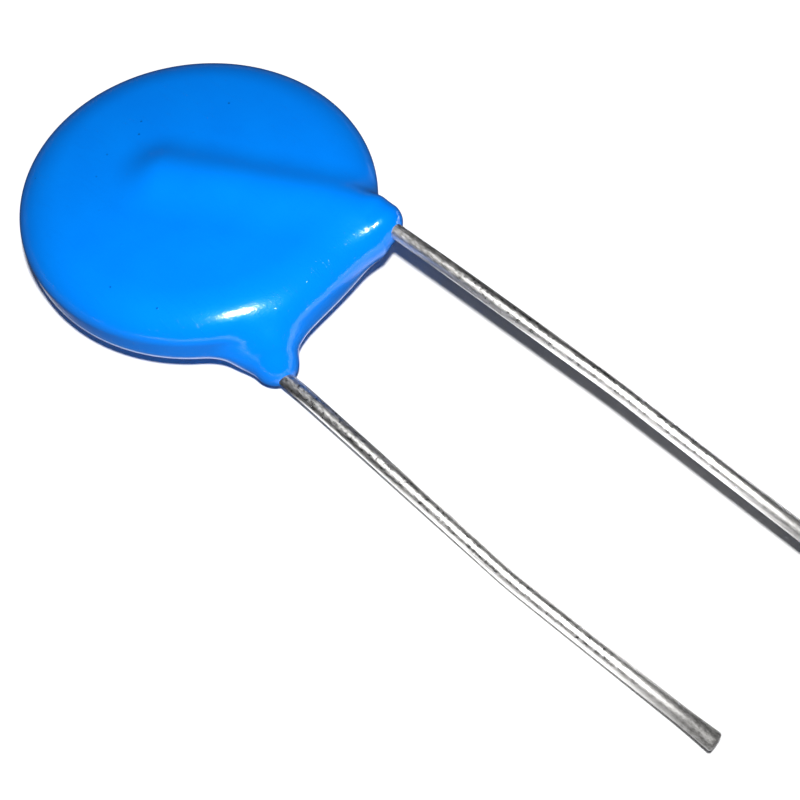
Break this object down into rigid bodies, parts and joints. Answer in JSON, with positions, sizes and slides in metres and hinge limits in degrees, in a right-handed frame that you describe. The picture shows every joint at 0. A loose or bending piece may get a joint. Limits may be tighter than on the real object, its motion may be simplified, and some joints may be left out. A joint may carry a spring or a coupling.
{
  "type": "disc varistor",
  "caption": "Radial-lead disc varistor: a ceramic disc with soldered electrodes and tinned wires under a blue dipped epoxy coating, for surge protection.",
  "frame": {"origin": "on the resting surface, under the middle of the whole part", "axes": "+Z is the normal of the disc's front face, and -Y is the way the leads run from the disc"},
  "size_m": [0.0214, 0.0516, 0.0063],
  "materials": {
    "epoxy": "smooth glossy dipped epoxy, bright blue",
    "oxide_ceramic": "matt sintered zinc oxide",
    "silver": "fired silver layer",
    "solder": "dull solder",
    "tinned_wire": "bright tin with drawing lines along the wire"
  },
  "bodies": {
    "root": {"epoxy_coating": "epoxy", "ceramic_disc": "oxide_ceramic", "front_electrode": "silver", "back_electrode": "silver", "front_solder": "solder", "back_solder": "solder", "front_lead": "tinned_wire", "back_lead": "tinned_wire"}
  },
  "joints": []
}
